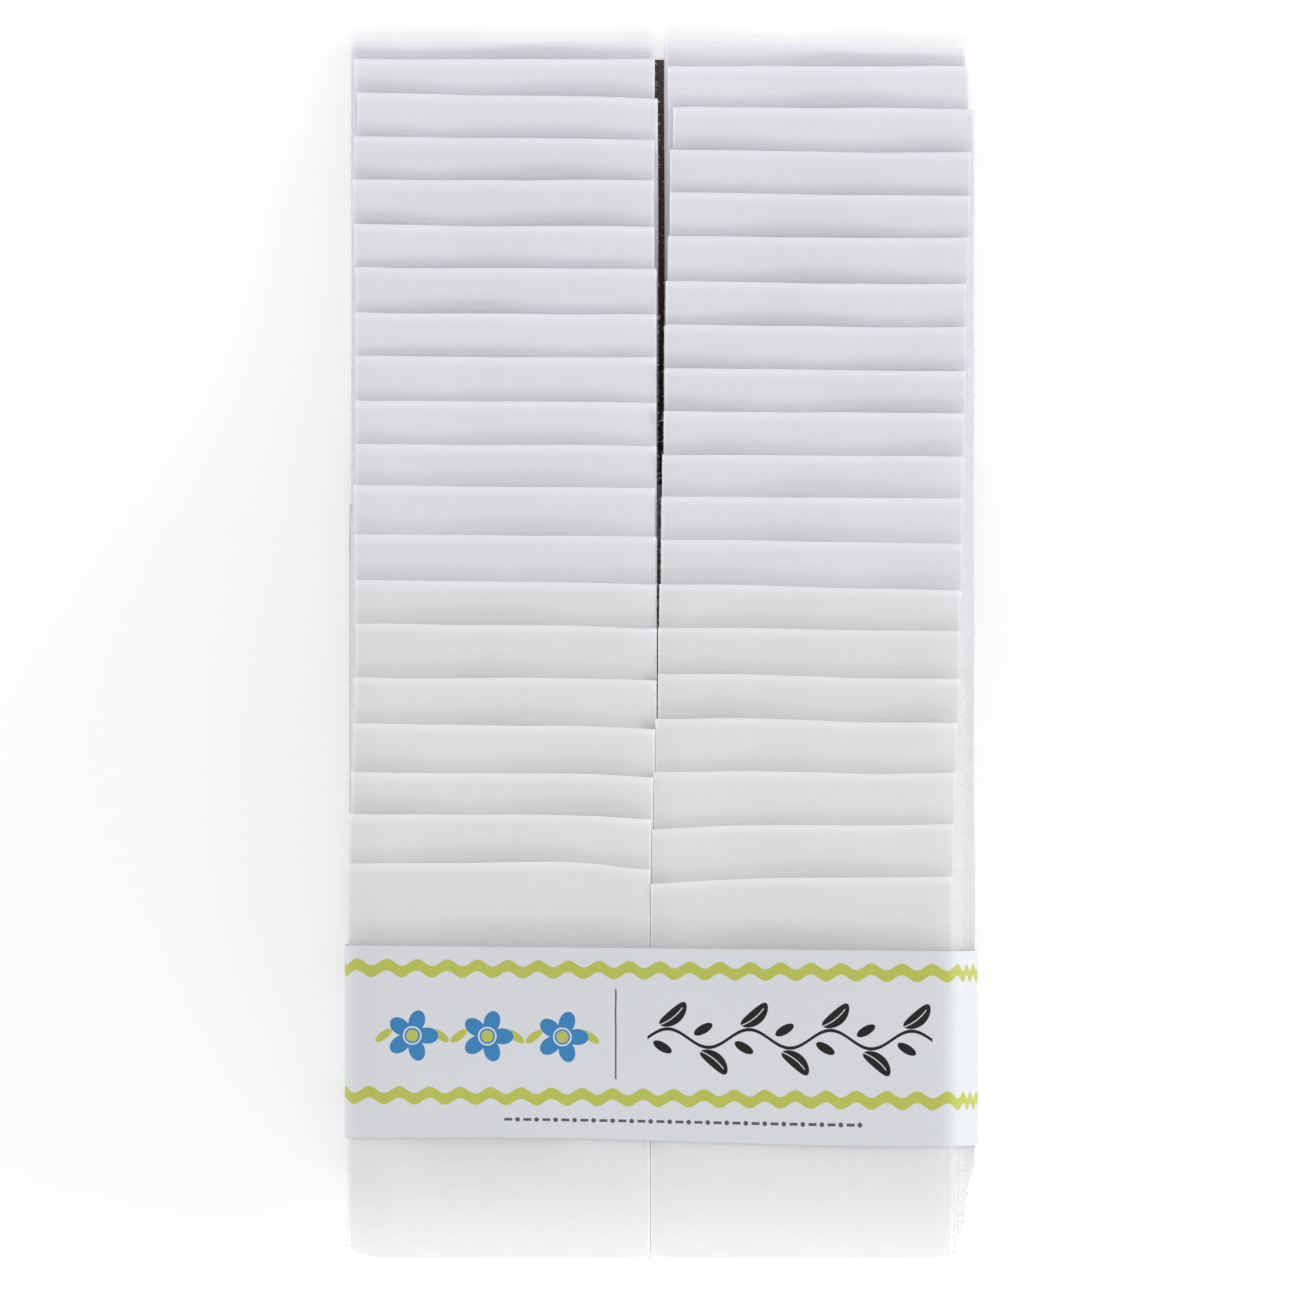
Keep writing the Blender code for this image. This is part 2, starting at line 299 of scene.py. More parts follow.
def layCloth(strip, x, along, out):
    # the point of a strip at x, so far along from its top fold and so far out from its inner face
    fold = topFold(strip, x)
    frontLength = np.interp(fold, pathTo, pathFrom)
    turnRadius = pile["coreGap"] + strip["layer"] * pile["pitch"] + pile["stripThick"] / 2
    left = frontLength - along
    h = np.interp(left, pathFrom, pathTo)
    angle = np.clip(-left / turnRadius, 0, math.pi)
    back = np.maximum(-left - math.pi * turnRadius, 0)
    g = np.where(left >= 0, h, pile["noseRadius"] - angle * foldLook["sag"] - back)
    seed = strip["seed"]
    fade = np.clip(1 - along / strip["show"], 0, 1) ** 2
    length, turn, size = foldLook["liftWave"]
    lift = foldLook["lift"] * strip["play"] * (1 + np.sin(x / length + turn * seed) * size)
    length, turn, size = foldLook["liftRipple"]
    lift = np.maximum(lift + size * np.sin(x / length + turn * seed), 0)
    w = pile["coreGap"] + strip["layer"] * pile["pitch"] + out
    w = w + fade * (lift + out * foldLook["puff"])
    w = w * (1 - squeeze(x, g, strip["side"]))
    y = np.where(left >= 0, h, np.where(back > 0, pile["noseRadius"] + back,
                                        pile["noseRadius"] - w * np.sin(angle)))
    z = np.where(left >= 0, coreLevel(h) + w, pile["coreHeight"] + w * np.cos(angle))
    return y, z


def plyHeight(ply):
    # middle of a ply above the strip's inner face, ply 1 innermost
    return pile["cloth"] / 2 + (ply - 1) * pile["plyPitch"]


def foldOver(centre, radius, start, end, way, steps):
    points = []
    for step in range(steps + 1):
        angle = math.radians(start + (end - start) * step / steps)
        c, s = math.cos(angle), math.sin(angle)
        points.append((centre[0] + radius * c, centre[1] + radius * s, way * c, way * s))
    return points


def ribbonLine(strip):
    # the cloth's own line, laid back and forth: along, out, and the way to its outer face
    middle = strip["left"] + pile["stripWidth"] / 2
    front = float(np.interp(topFold(strip, np.array([middle]))[0], pathTo, pathFrom))
    radius = pile["coreGap"] + strip["layer"] * pile["pitch"] + pile["stripThick"] / 2
    inside = list(foldLook["nearFold"])
    steps = max(int((front - foldLook["clearOfFold"]) / foldLook["frontStep"]), 2)
    inside += list(np.linspace(foldLook["clearOfFold"], front, steps + 1))
    turns = foldLook["noseSteps"]
    inside += [front + math.pi * radius * i / turns for i in range(1, turns + 1)]
    wide = (plyHeight(4) - plyHeight(1)) / 2
    tight = pile["plyPitch"] / 2
    top = pile["cloth"] / 2 + wide
    far = pile["foldedLength"] - pile["cloth"] / 2 - tight
    free = pile["foldedLength"] - strip["short"]
    rest = free - inside[-1]
    steps = max(int(rest / foldLook["backStep"]), 1)
    inside += [inside[-1] + rest * i / (steps + 1) for i in range(1, steps + 1)]
    half = (plyHeight(1) + plyHeight(4)) / 2
    folds = foldLook["foldSteps"]
    line = [(free, plyHeight(4), 0, 1, 4)]
    line += [(u, plyHeight(4), 0, 1, 4) for u in reversed(inside)]
    line += [p + (1,) for p in foldOver((top, half), wide, 90, 270, 1, folds)]
    line += [(u, plyHeight(1), 0, -1, 1) for u in inside]
    low = (plyHeight(1) + plyHeight(2)) / 2
    bends = foldLook["tightSteps"]
    line += [p + (2,) for p in foldOver((far, low), tight, 270, 450, 1, bends)]
    line += [(u, plyHeight(2), 0, 1, 2) for u in reversed(inside)]
    line += [p + (3,) for p in foldOver((top, half), tight, 270, 90, -1, bends)]
    line += [(u, plyHeight(3), 0, -1, 3) for u in inside]
    line.append((free - strip["short"] / 3, plyHeight(3), 0, -1, 3))
    return np.array(line, float)


def sealedMesh(name, points, faces, uvs, marks=None):
    # a mesh from millimetres, its faces turned outwards and its cut edges kept sharp
    data = bpy.data.meshes.new(name)
    data.from_pydata((points * mm).tolist(), [], faces)
    work = bmesh.new()
    work.from_mesh(data)
    layer = work.loops.layers.uv.new("cloth")
    for face in work.faces:
        for loop in face.loops:
            loop[layer].uv = uvs[loop.vert.index]
    bmesh.ops.recalc_face_normals(work, faces=work.faces)
    work.to_mesh(data)
    work.free()
    for mark, values in (marks or {}).items():
        data.attributes.new(mark, "FLOAT", "POINT").data.foreach_set("value", values)
    data.shade_smooth()
    data.set_sharp_from_angle(angle=math.radians(50))
    thing = bpy.data.objects.new(name, data)
    bpy.context.scene.collection.objects.link(thing)
    return thing


def stripObject(name, strip):
    line = ribbonLine(strip)
    count = foldLook["columns"]
    even = np.linspace(0, 1, count)
    crowd = foldLook["crowd"]
    t = (1 - crowd) * even + crowd * (0.5 - 0.5 * np.cos(math.pi * even))
    rungs = len(line)
    points = np.zeros((rungs, 2, count, 3))
    uvs = np.zeros((rungs, 2, count, 2))
    run = np.concatenate([[0], np.cumsum(np.hypot(np.diff(line[:, 0]), np.diff(line[:, 1])))])
    drift = 0
    for length, turn, size in foldLook["drift"]:
        drift = drift + size * np.sin(run / length + turn * strip["seed"])
    for half, way in enumerate((1, -1)):
        along = line[:, 0] + line[:, 2] * way * pile["cloth"] / 2
        out = line[:, 1] + line[:, 3] * way * pile["cloth"] / 2
        lean = t[None, :] if strip["side"] == 0 else t[None, :] - 1
        x = strip["left"] + t[None, :] * pile["stripWidth"] + drift[:, None] * strip["loose"]
        x = x + strip["reach"] * lean * np.abs(lean) ** foldLook["edgePower"]
        along = np.repeat(along[:, None], count, axis=1)
        out = np.repeat(out[:, None], count, axis=1)
        y, z = layCloth(strip, x, along, out)
        points[:, half, :, 0] = x
        points[:, half, :, 1] = y + pile["noseY"]
        points[:, half, :, 2] = z
        uvs[:, half, :, 0] = t[None, :] * pile["stripWidth"] * mm
        uvs[:, half, :, 1] = run[:, None] * mm
    index = np.arange(rungs * 2 * count).reshape(rungs, 2, count)
    faces = []
    for half in (0, 1):
        a = index[:-1, half, :-1].ravel()
        b = index[1:, half, :-1].ravel()
        c = index[1:, half, 1:].ravel()
        d = index[:-1, half, 1:].ravel()
        order = (a, b, c, d) if half == 0 else (a, d, c, b)
        faces += np.stack(order, axis=1).tolist()
    for column, flip in ((0, False), (count - 1, True)):
        a = index[:-1, 0, column]
        b = index[:-1, 1, column]
        c = index[1:, 1, column]
        d = index[1:, 0, column]
        order = (a, b, c, d) if not flip else (a, d, c, b)
        faces += np.stack(order, axis=1).tolist()
    for rung, flip in ((0, True), (rungs - 1, False)):
        a = index[rung, 0, :-1]
        b = index[rung, 1, :-1]
        c = index[rung, 1, 1:]
        d = index[rung, 0, 1:]
        order = (a, b, c, d) if not flip else (a, d, c, b)
        faces += np.stack(order, axis=1).tolist()
    flat = points.reshape(-1, 3)
    # painted highlight: a mask along each top fold, where the cloth's colour is lightened
    foldHighlight = np.clip(1.3 - line[:, 0] / 1.6, 0, 1) * (line[:, 1] > plyHeight(2))
    marks = {
        "toneAndPaintedLight": np.full(len(flat), strip["toneAndPaintedLight"]),
        "foldHighlight": np.repeat(foldHighlight, 2 * count),
    }
    thing = sealedMesh(name, flat, faces, uvs.reshape(-1, 2), marks)
    return thing, points


# the cotton

cottonLook = {
    "front": (0.752, 0.748, 0.764, 1),
    "back": (0.738, 0.738, 0.782, 1),
    "bluesFrom": -0.03,  # metres along the pack
    "bluesTo": 0.07,
    "mottle": 0.03,
    "stripToneAndPaintedLight": 0.008,
    # painted highlight: how much lighter the colour is along the top folds
    "paintedFoldHighlight": 0.11,
    # painted highlight: the width and strength of the lightening along the cut edges
    "edgeHighlightWidth": 0.0008,
    "paintedEdgeHighlight": 0.13,
    "threadPitch": 0.00034,
    "weaveDepth": 0.00004,
    "slubDepth": 0.00006,
    "roughness": 0.86,
    "roughnessPlay": 0.05,
    "slubTone": 0.03,
    "slubFine": 1800,
    "slubLong": 90,
    "printScales": (330.0, 60.0),
    "specular": 0.18,
    "sheen": 0.12,
}


def makeCotton():
    look = cottonLook
    material, maker, shader = newMaterial("printed quilting cotton")
    uv = maker.add("ShaderNodeUVMap", {"uv_map": "cloth"})
    u = maker.add("ShaderNodeSeparateXYZ", None, {0: uv})
    v = maker.add("ShaderNodeSeparateXYZ", None, {0: uv}, output=1)
    across = u * (math.pi / look["threadPitch"])
    down = v * (math.pi / look["threadPitch"])
    weave = across.do("SINE") * down.do("SINE")
    fineScale, longScale = look["slubFine"], look["slubLong"]
    warp = maker.add("ShaderNodeMapping", None, {"Vector": uv, "Scale": (fineScale, longScale, 1)})
    weft = maker.add("ShaderNodeMapping", None, {"Vector": uv, "Scale": (longScale, fineScale, 1)})
    warpNoise = maker.add("ShaderNodeTexNoise", None, {"Vector": warp, "Scale": 1.0, "Detail": 2.0})
    weftNoise = maker.add("ShaderNodeTexNoise", None, {"Vector": weft, "Scale": 1.0, "Detail": 2.0})
    slub = warpNoise + weftNoise - 1
    place = maker.add("ShaderNodeTexCoord", output=3)
    y = maker.add("ShaderNodeSeparateXYZ", None, {0: place}, output=1)
    blue = y.step(look["bluesFrom"], look["bluesTo"])
    base = blendColour(maker, blue, look["front"], look["back"])
    small, large = look["printScales"]
    smallPrint = maker.add("ShaderNodeTexNoise", None, {"Vector": uv, "Scale": small, "Detail": 3.0})
    largePrint = maker.add("ShaderNodeTexNoise", None, {"Vector": uv, "Scale": large, "Detail": 2.0})
    # the strip's random tone together with the painted light on the back strips
    toneAndPaintedLight = maker.add("ShaderNodeAttribute", {"attribute_name": "toneAndPaintedLight"}, output=2)
    level = (smallPrint - 0.5) * look["mottle"] + (largePrint - 0.5) * look["mottle"]
    # painted highlight: the colour is lightened along the top folds
    foldHighlight = maker.add("ShaderNodeAttribute", {"attribute_name": "foldHighlight"}, output=2)
    # painted highlight: the colour is lightened within a narrow band at each cut edge
    half = pile["stripWidth"] * mm / 2
    edgeHighlight = abs(u - half).step(half - look["edgeHighlightWidth"], half)
    level = level + slub * look["slubTone"] + toneAndPaintedLight * look["stripToneAndPaintedLight"] + 1
    level = level + foldHighlight * look["paintedFoldHighlight"] + edgeHighlight * look["paintedEdgeHighlight"]
    colour = maker.add(
        "ShaderNodeVectorMath", {"operation": "SCALE"}, {0: base, "Scale": level}
    )
    maker.feed(shader.inputs["Base Color"], colour)
    maker.feed(shader.inputs["Roughness"], look["roughness"] + slub * look["roughnessPlay"])
    shader.inputs["Specular IOR Level"].default_value = look["specular"]
    shader.inputs["Sheen Weight"].default_value = look["sheen"]
    shader.inputs["Sheen Roughness"].default_value = 0.5
    fine = maker.add(
        "ShaderNodeBump", None,
        {"Height": weave, "Strength": 0.25, "Distance": look["weaveDepth"]},
    )
    rough = maker.add(
        "ShaderNodeBump", None,
        {"Height": slub, "Strength": 0.5, "Distance": look["slubDepth"], "Normal": fine},
    )
    maker.feed(shader.inputs["Normal"], rough)
    return material


# the strips


# where the stacks are this near to each other, their edges bulge until the seam all but closes
seamLook = {
    "narrow": 0.48,
    "left": 0.05,
    "loose": 0.12,
}

paintedLightFrom = 17  # strips further back than this are painted paler: painted light on the back of the pack


def makeStrips():
    cotton = makeCotton()
    made = []
    grids = ([], [])
    random = np.random.default_rng(41)
    for side, (word, folds) in enumerate((("left", leftFolds), ("right", rightFolds))):
        for number, (fold, rise, stray, short) in enumerate(folds, start=1):
            node = f"strip_{word}_{number:02d}"
            low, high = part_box(node)
            behind = folds[number][0] if number < len(folds) else fold + 8
            strip = {
                "side": side,
                "layer": len(folds) - number,
                "fold": fold,
                "rise": rise,
                "stray": stray,
                "short": short,
                "left": low.x / mm,
                "seed": float(random.uniform(0, 6.28)),
                "play": float(random.uniform(0.5, 1.5)),
                # each strip's random tone, plus painted light that pales the strips furthest back
                "toneAndPaintedLight": float(random.uniform(-1, 1)) + max(number - paintedLightFrom, 0) * 3,
                "show": foldLook["fade"],
                "loose": 1.0,
                "reach": 0.0,
            }
            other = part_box(f"strip_{'right' if side == 0 else 'left'}_{number:02d}")
            gap = (other[0].x - high.x if side == 0 else low.x - other[1].x) / mm
            if gap < seamLook["narrow"]:
                strip["loose"] = seamLook["loose"]
                strip["reach"] = gap / 2 - seamLook["left"]
            if number > 1:
                ahead = folds[number - 2]
                gap = min(fold - ahead[0], fold + rise - ahead[0] - ahead[1])
                strip["show"] = min(foldLook["fade"], gap - 0.5)
            thing, points = stripObject(f"cloth_{word}_{number:02d}", strip)
            thing.data.materials.append(cotton)
            made.append((thing, node, word, number))
            grids[side].append(points)
        print(f"{word} stack: {len(folds)} strips")
    return made, grids, cotton


# the paper band

bandLook = {
    "lower": 24.9,
    "width": 40.6,
    "turn": math.radians(-0.55),
    "thick": 0.25,
    "clear": 0.42,
    "overlap": 12.0,
    "lap": 0.28,
    "stations": 23,
    "around": 300,
    "standOff": 0.55,  # how much of the middle's girth the upper edge keeps
    "standFrom": 22.0,
    "standReach": 18.0,
    "lip": 0.9,  # how far the lower edge bows out at the left
    "lipAt": -38.0,
    "lipHalf": 26.0,
    "lipReach": 9.0,
    "lapEase": 6.0,
    "frontFrom": 20.0,  # points higher than this are on the front half
    "faceFrom": 30.0,  # and higher than this on its face
    "waver": (0.55, 8.0, 25.0, 14.0),  # the lower edge: size, place, length and reach
}


def hullOf(points):
    # the corners of the smallest convex outline, counter-clockwise
    order = sorted(set(map(tuple, np.round(points, 4))))

    def half(source):
        chain = []
        for p in source:
            while len(chain) > 1:
                a, b = chain[-2], chain[-1]
                if (b[0] - a[0]) * (p[1] - a[1]) - (b[1] - a[1]) * (p[0] - a[0]) > 0:
                    break
                chain.pop()
            chain.append(p)
        return chain[:-1]

    return np.array(half(order) + half(order[::-1]))


def roundOutline(corners, distance):
    # the outline moved outwards, with round corners
    outline = []
    count = len(corners)
    for i in range(count):
        before, corner, after = corners[i - 1], corners[i], corners[(i + 1) % count]
        first = math.atan2(before[0] - corner[0], corner[1] - before[1])
        second = math.atan2(corner[0] - after[0], after[1] - corner[1])
        turn = (second - first) % (2 * math.pi)
        steps = max(1, int(turn / 0.2))
        for step in range(steps + 1):
            angle = first + turn * step / steps
            outline.append((corner[0] + distance * math.cos(angle),
                            corner[1] + distance * math.sin(angle)))
    return np.array(outline)


def evenLoop(outline, count):
    # the outline as so many even steps, from the middle of its underside
    closed = np.vstack([outline, outline[:1]])
    length = np.concatenate([[0], np.cumsum(np.hypot(*np.diff(closed, axis=0).T))])
    below = (closed[:-1, 1] < 5) & (closed[:-1, 0] <= 0) & (closed[1:, 0] > 0)
    i = int(np.nonzero(below)[0][0])
    share = -closed[i, 0] / (closed[i + 1, 0] - closed[i, 0])
    start = length[i] + share * (length[i + 1] - length[i])
    where = (start + np.linspace(0, length[-1], count, endpoint=False)) % length[-1]
    loop = np.stack([np.interp(where, length, closed[:, k]) for k in (0, 1)], axis=1)
    return loop, length[-1]


def sectionPoints(grids, y):
    # where the strips' outer parts cross the plane at y
    found = []
    for side in (0, 1):
        for grid in grids[side]:
            for half in (0, 1):
                for column in (0, 1, 2, -3, -2, -1):
                    line = grid[:, half, column, :]
                    cross = np.nonzero((line[:-1, 1] - y) * (line[1:, 1] - y) <= 0)[0]
                    for i in cross:
                        found.append((line[i, 0], max(line[i, 2], line[i + 1, 2]) if line[i, 2] > 20
                                      else min(line[i, 2], line[i + 1, 2])))
        grid = grids[side][0]
        for column in range(grid.shape[2]):
            line = grid[:, 0, column, :]
            cross = np.nonzero((line[:-1, 1] - y) * (line[1:, 1] - y) <= 0)[0]
            for i in cross:
                share = (y - line[i, 1]) / (line[i + 1, 1] - line[i, 1] + 1e-9)
                found.append((line[i, 0], line[i, 2] + share * (line[i + 1, 2] - line[i, 2])))
    return np.array(found)


def makeBand(grids):
    look = bandLook
    count = look["around"]
    places = np.linspace(0, look["width"], look["stations"])
    middle = pile["noseY"] + look["lower"] + look["width"] / 2
    loops = []
    lengths = []
    for v in places:
        y = middle - look["width"] / 2 + v
        loop, length = evenLoop(roundOutline(hullOf(sectionPoints(grids, y)), look["clear"]), count)
        loops.append(loop)
        lengths.append(length)
    loops = np.array(loops)
    for _ in range(3):  # paper bends evenly
        loops = (np.roll(loops, 1, axis=1) + 2 * loops + np.roll(loops, -1, axis=1)) / 4
    smooth = loops.copy()
    for _ in range(2):
        smooth[1:-1] = (smooth[:-2] + 2 * smooth[1:-1] + smooth[2:]) / 4
    tight = smooth[len(places) // 2].copy()
    for i, v in enumerate(places):  # the upper edge keeps some of the girth of the middle
        share = look["standOff"] * np.clip((v - look["standFrom"]) / look["standReach"], 0, 1) ** 1.3
        smooth[i] = smooth[i] + share * (tight - smooth[i])
    smooth[:, :, 1] = np.maximum(smooth[:, :, 1], look["thick"])
    girth = max(lengths)
    steps = count + int(count * look["overlap"] / girth)
    rows = []
    for i, v in enumerate(places):
        loop = smooth[i]
        after = np.roll(loop, -1, axis=0) - np.roll(loop, 1, axis=0)
        normal = np.stack([after[:, 1], -after[:, 0]], axis=1)
        normal /= np.hypot(*normal.T)[:, None]
        outer = []
        inner = []
        for k in range(steps + 1):
            p, n = loop[k % count], normal[k % count]
            tucked = look["lap"] * (1 - np.clip((k / count * girth - look["overlap"]) / look["lapEase"], 0, 1))
            foot = p - n * tucked
            inner.append((foot[0], foot[1]))
            outer.append((foot[0] + n[0] * look["thick"], foot[1] + n[1] * look["thick"]))
        rows.append((outer, inner))
    grid = np.array(rows)  # station, face, step, (x, z)
    stations, _, around, _ = grid.shape
    points = np.zeros((stations, 2, around, 3))
    points[..., 0] = grid[..., 0]
    points[..., 2] = grid[..., 1]
    away = (places - look["width"] / 2)[:, None, None]
    points[..., 1] = middle + away * math.cos(look["turn"]) + points[..., 0] * math.sin(look["turn"])
    across = np.clip(1 - ((points[..., 0] - look["lipAt"]) / look["lipHalf"]) ** 2, 0, 1) ** 2
    lip = np.clip(1 - places / look["lipReach"], 0, 1)[:, None, None] ** 2
    points[..., 2] += look["lip"] * lip * across * (points[..., 2] > look["faceFrom"])
    size, at, length, reach = look["waver"]
    below = np.clip(1 - places / reach, 0, 1)[:, None, None] ** 2
    onFront = points[..., 2] > look["frontFrom"]
    points[..., 1] -= below * size * np.sin((points[..., 0] - at) / length) * onFront
    run = np.arange(around) / count * girth
    top = int(np.argmin(np.abs(loops[0, :, 0]) + (loops[0, :, 1] < 20) * 999))
    uvs = np.zeros((stations, 2, around, 2))
    uvs[..., 0] = -(run - run[top])[None, None, :] * mm
    uvs[..., 1] = places[:, None, None] * mm
    index = np.arange(stations * 2 * around).reshape(stations, 2, around)
    faces = []

    def quads(a, b, c, d):
        faces.extend(np.stack([part.ravel() for part in (a, b, c, d)], axis=1).tolist())

    for face in (0, 1):
        quads(index[:-1, face, :-1], index[1:, face, :-1], index[1:, face, 1:], index[:-1, face, 1:])
    for row in (0, stations - 1):
        quads(index[row, 0, :-1], index[row, 1, :-1], index[row, 1, 1:], index[row, 0, 1:])
    for step in (0, around - 1):
        quads(index[:-1, 0, step], index[:-1, 1, step], index[1:, 1, step], index[1:, 0, step])
    flat = points.reshape(-1, 3)
    thing = sealedMesh("paper_band", flat, faces, uvs.reshape(-1, 2))
    thing.data.materials.append(makePaper())
    print(f"band: {girth:.0f} mm round")
    return thing


printLook = {
    "paper": (0.66, 0.675, 0.71, 1),
    "olive": (0.46, 0.50, 0.085, 1),
    "blue": (0.035, 0.21, 0.47, 1),
    "ink": (0.006, 0.006, 0.007, 1),
    "grey": (0.09, 0.09, 0.10, 1),
    "rows": ((35.95, -58.6), (9.15, -62.1)),  # height of each row and where it crests
    "waveLength": 6.41,
    "waveHeight": 0.72,
    "waveThick": 2.45,
    "rule": -10.15,
    "ruleFrom": 13.0,
    "ruleTo": 32.0,
    "ruleHalf": 0.17,
    "soft": 0.07,  # half the blur of an edge
    "motifLine": 21.8,  # height of the vine and the blossoms
    # middle, way (cosine and sine of its slant), half length, half width
    "bigLeaf": ((1.5, 4.6), (0.76, 0.65), (3.6, 1.55)),
    "smallLeaf": ((-1.1, -1.9), (0.86, -0.5), (2.2, 0.95)),
    "sprig": ((1.9, 0.0), (0.8, 0.6), (2.1, 0.85)),
    "vein": 0.1,
    "stem": (1.9, 0.36),  # how far it waves, half its width
    "heart": 1.25,
    "ring": (1.8, 0.17),
    "petal": (2.6, 2.9),
    "stitch": 4.0,
    "stitchLine": 4.1,
    "dash": (1.25, 0.85, 0.3),
    "dot": (3.2, 0.5),
}


def makePaper():
    look = printLook
    material, maker, shader = newMaterial("printed paper")
    uv = maker.add("ShaderNodeUVMap", {"uv_map": "cloth"})
    u = maker.add("ShaderNodeSeparateXYZ", None, {0: uv}) / mm
    v = maker.add("ShaderNodeSeparateXYZ", None, {0: uv}, output=1) / mm
    soft = look["soft"]

    def within(distance, half):
        return distance.step(half + soft, half - soft)

    def wavyRow(height, crest):
        turn = (u - crest) * (2 * math.pi / look["waveLength"])
        line = turn.do("COSINE") * look["waveHeight"] + height
        return within(abs(v - line), look["waveThick"] / 2)

    rows = [wavyRow(height, crest) for height, crest in look["rows"]]
    olive = rows[0].do("MAXIMUM", rows[1])

    def between(value, low, high):
        return within(abs(value - (low + high) / 2), (high - low) / 2)

    rule = between(v, look["ruleFrom"], look["ruleTo"]) * within(abs(u - look["rule"]), look["ruleHalf"])

    def leaf(x, y, shape):
        (atX, atY), (c, sine), (length, width) = shape
        leafX = (x - atX) * c + (y - atY) * sine
        leafY = (x - atX) * -sine + (y - atY) * c
        return leafX, leafY, length, width

    def oval(x, y, length, width):
        return x * x / length ** 2 + y * y / width ** 2

    # a vine on the right panel: a waving stem with a leaf at each bend
    vineFrom, vineTo, period = -3.5, 56.5, 8.57
    line = look["motifLine"]
    along = (u - vineFrom) * (math.pi / period)
    swing, stemHalf = look["stem"]
    stem = along.do("SINE") * swing + line
    onVine = between(u, vineFrom, vineTo)
    stemMask = within(abs(v - stem), stemHalf) * onVine
    cell = (u - vineFrom) / period
    fraction = cell.do("FRACT") * period - period / 2
    parity = (cell / 2).do("FRACT").do("GREATER_THAN", 0.5) * 2 - 1
    height = (v - line) * parity * -1
    leafX, leafY, length, width = leaf(fraction, height, look["bigLeaf"])
    leafY = leafY - leafX * leafX * 0.05
    vein = within(abs(leafY), look["vein"]) * leafX.step(2.6, 2.2)
    bigLeaf = oval(leafX, leafY, length, width).step(1.06, 0.94) * (1 - vein) * onVine
    smallLeaf = oval(*leaf(fraction, height, look["smallLeaf"])).step(1.08, 0.92) * onVine
    ink = stemMask.do("MAXIMUM", bigLeaf).do("MAXIMUM", smallLeaf)

    # three blossoms on the left panel, with olive leaves between them
    pitch, first = 15.8, -53.0
    inPanel = between(u, first - pitch / 2, first + 2.5 * pitch)
    spot = (u - first) / pitch
    nearU = ((spot + 0.5).do("FRACT") - 0.5) * pitch
    nearV = v - line
    far = (nearU * nearU + nearV * nearV).do("SQRT")
    petals = nearV.do("ARCTAN2", nearU) * 2.5  # half of five petals' turns
    least, more = look["petal"]
    rim = abs(petals.do("COSINE")) * more + least
    blossom = (far - rim).step(soft, -soft) * inPanel
    heart = within(far, look["heart"]) * inPanel
    ringAt, ringHalf = look["ring"]
    blue = blossom * (1 - heart) * (1 - within(abs(far - ringAt), ringHalf))
    mirrored = abs((spot.do("FRACT") - 0.5) * pitch)
    sprig = oval(*leaf(mirrored, nearV, look["sprig"])).step(1.1, 0.9) * inPanel
    olive = olive.do("MAXIMUM", sprig * (1 - blossom)).do("MAXIMUM", heart)

    # a running stitch in grey under both panels
    runFrom, runTo = -34.0, 42.0
    stitch, low = look["stitch"], look["stitchLine"]
    place = ((u - runFrom) / stitch).do("FRACT") * stitch
    dashAt, dashHalf, dashThick = look["dash"]
    dash = within(abs(place - dashAt), dashHalf) * within(abs(v - low), dashThick)
    dotAt, dotHalf = look["dot"]
    dotU = place - dotAt
    dotV = v - low
    dot = within((dotU * dotU + dotV * dotV).do("SQRT"), dotHalf)
    dashes = dash.do("MAXIMUM", dot) * between(u, runFrom, runTo)

    fibre = maker.add("ShaderNodeMapping", None, {"Vector": uv, "Scale": (700, 1400, 1)})
    grain = maker.add("ShaderNodeTexNoise", None, {"Vector": fibre, "Scale": 1.0, "Detail": 4.0})
    cloud = maker.add("ShaderNodeTexNoise", None, {"Vector": uv, "Scale": 45.0, "Detail": 2.0})
    colour = blendColour(maker, olive, look["paper"], look["olive"])
    colour = blendColour(maker, blue, colour, look["blue"])
    colour = blendColour(maker, ink, colour, look["ink"])
    grey = rule.do("MAXIMUM", dashes)
    colour = blendColour(maker, grey, colour, look["grey"])
    level = (grain - 0.5) * 0.05 + (cloud - 0.5) * 0.03 + 1
    colour = maker.add("ShaderNodeVectorMath", {"operation": "SCALE"}, {0: colour, "Scale": level})
    maker.feed(shader.inputs["Base Color"], colour)
    maker.feed(shader.inputs["Roughness"], 0.58 + (grain - 0.5) * 0.15)
    shader.inputs["Specular IOR Level"].default_value = 0.35
    bump = maker.add("ShaderNodeBump", None, {"Height": grain, "Strength": 0.25, "Distance": 0.00005})
    maker.feed(shader.inputs["Normal"], bump)
    return material


# loose threads at the cut edges

threadLook = {
    "spacing": 1.1,
    "length": 0.55,
    "thickness": 0.035,
    "spread": (0.00006, 0.0009, 0.00004),  # metres that a thread strays from its even place
    "aim": (0.2, 0.9, 0.5),  # how far its way strays from straight out
    "lengths": (0.35, 1.4),
    "curl": (0.45, -0.2),
    "ring": 0.07,
    "seeds": (7, 19),
    "outerShare": 0.24,  # how much of a strip's line is its outermost ply
}


